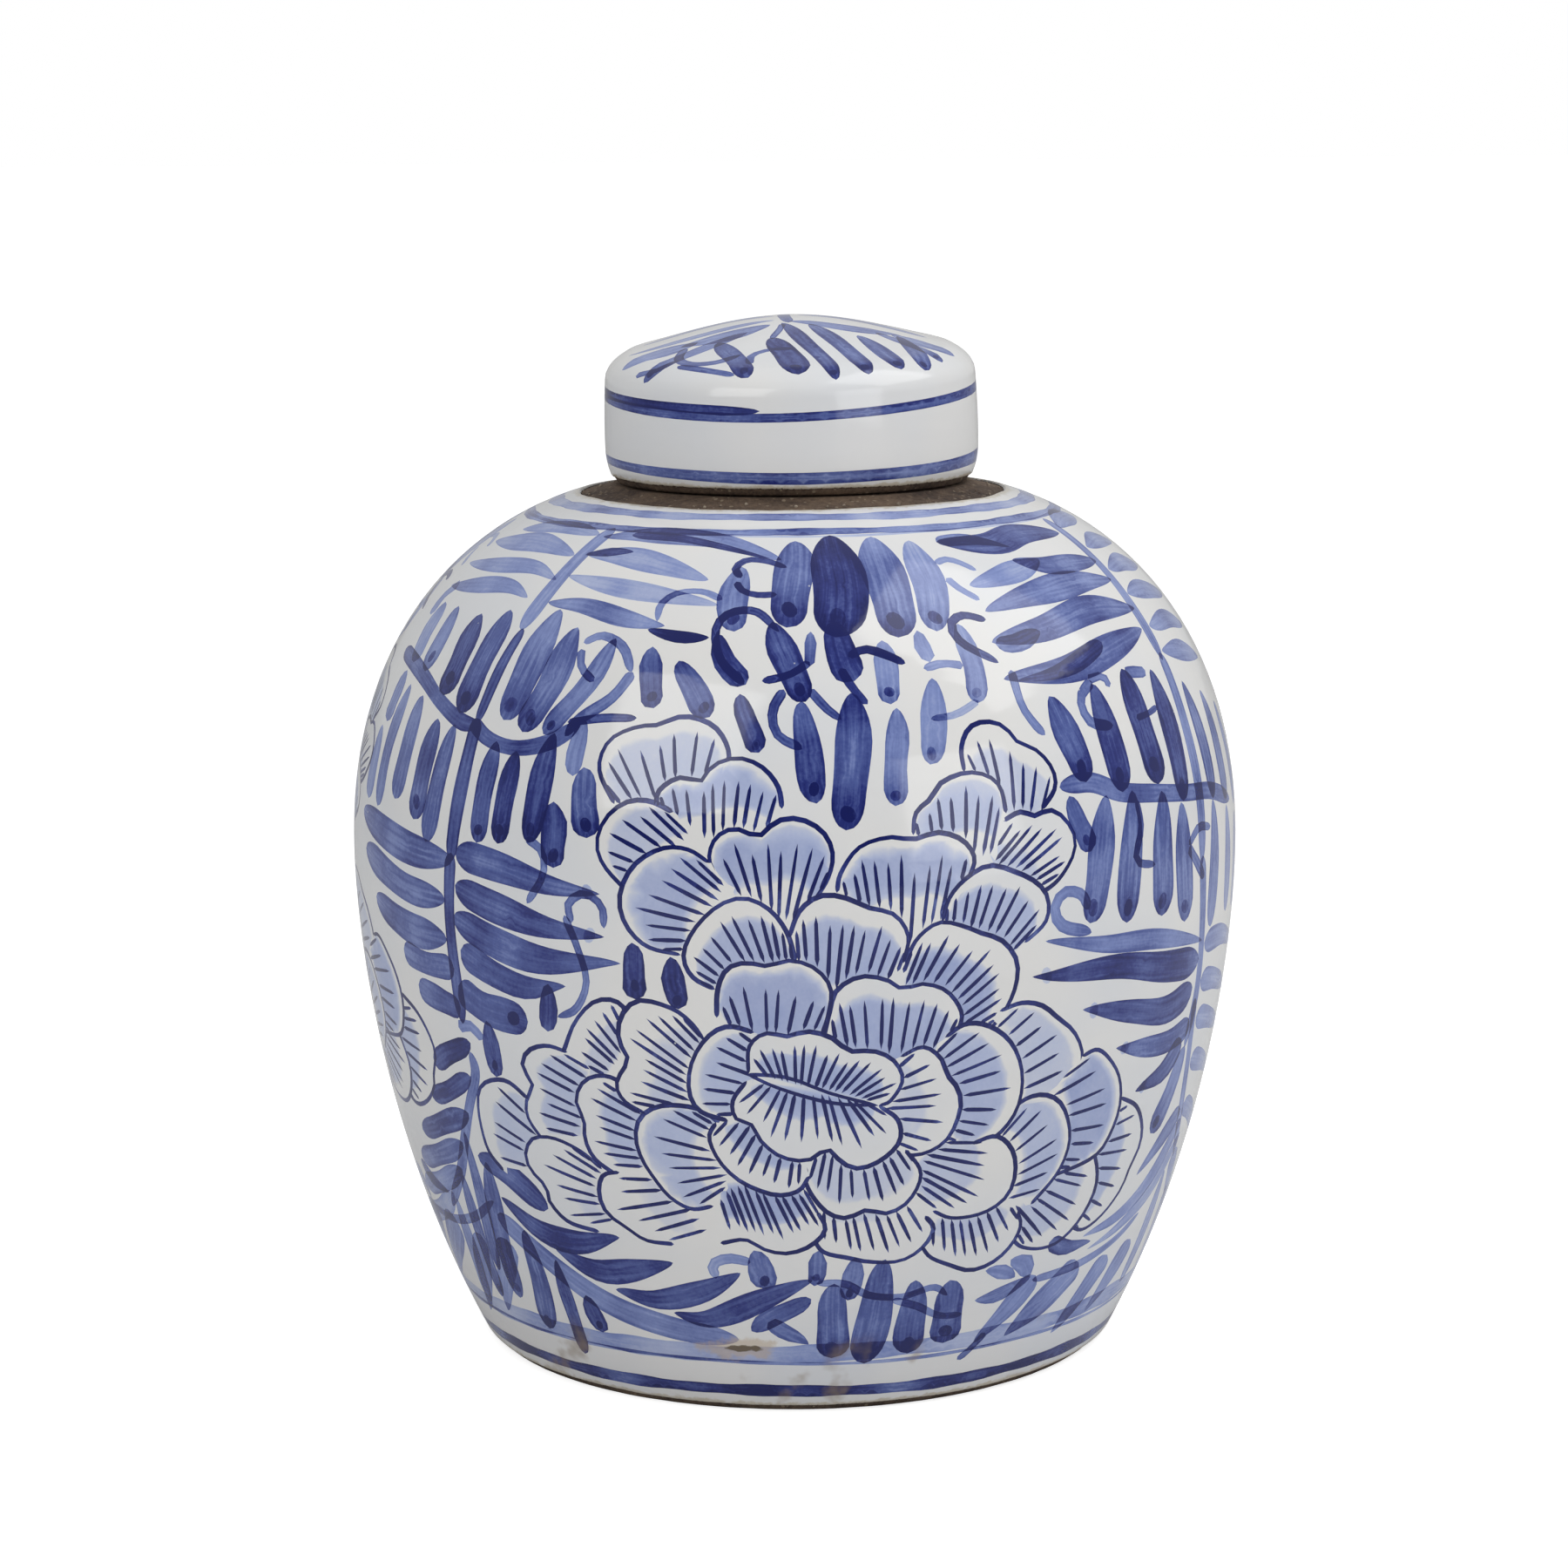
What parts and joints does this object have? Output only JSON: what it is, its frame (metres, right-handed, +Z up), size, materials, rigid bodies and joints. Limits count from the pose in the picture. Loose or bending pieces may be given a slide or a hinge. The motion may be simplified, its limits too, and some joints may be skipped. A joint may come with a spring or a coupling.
{
  "type": "ginger jar",
  "caption": "Round, high-shouldered glazed clay jar with a short neck under a loose cap lid with a low dome; a brushed floral pattern goes round it.",
  "frame": {"origin": "middle of the foot ring's underside, on the surface that the jar stands on", "axes": "+Z up the jar's axis, -Y towards the front of the decoration, +X to the right as seen from the front"},
  "size_m": [0.1989, 0.199, 0.2288],
  "materials": {
    "clay": "bare, coarse, matt",
    "outer_glaze": "glossy, with brushed blue decoration",
    "inner_glaze": "glossy, plain"
  },
  "bodies": {
    "jar": {"jar_body": "clay", "jar_outer_glaze": "outer_glaze", "jar_inner_glaze": "inner_glaze", "jar_base_glaze": "outer_glaze"},
    "lid": {"lid_body": "clay", "lid_outer_glaze": "outer_glaze", "lid_inner_glaze": "inner_glaze"}
  },
  "joints": [
    {"name": "lid_lift", "type": "slide", "parent": "jar", "child": "lid", "axis": [0, 0, 1], "range_m": [0, 0.12]}
  ]
}
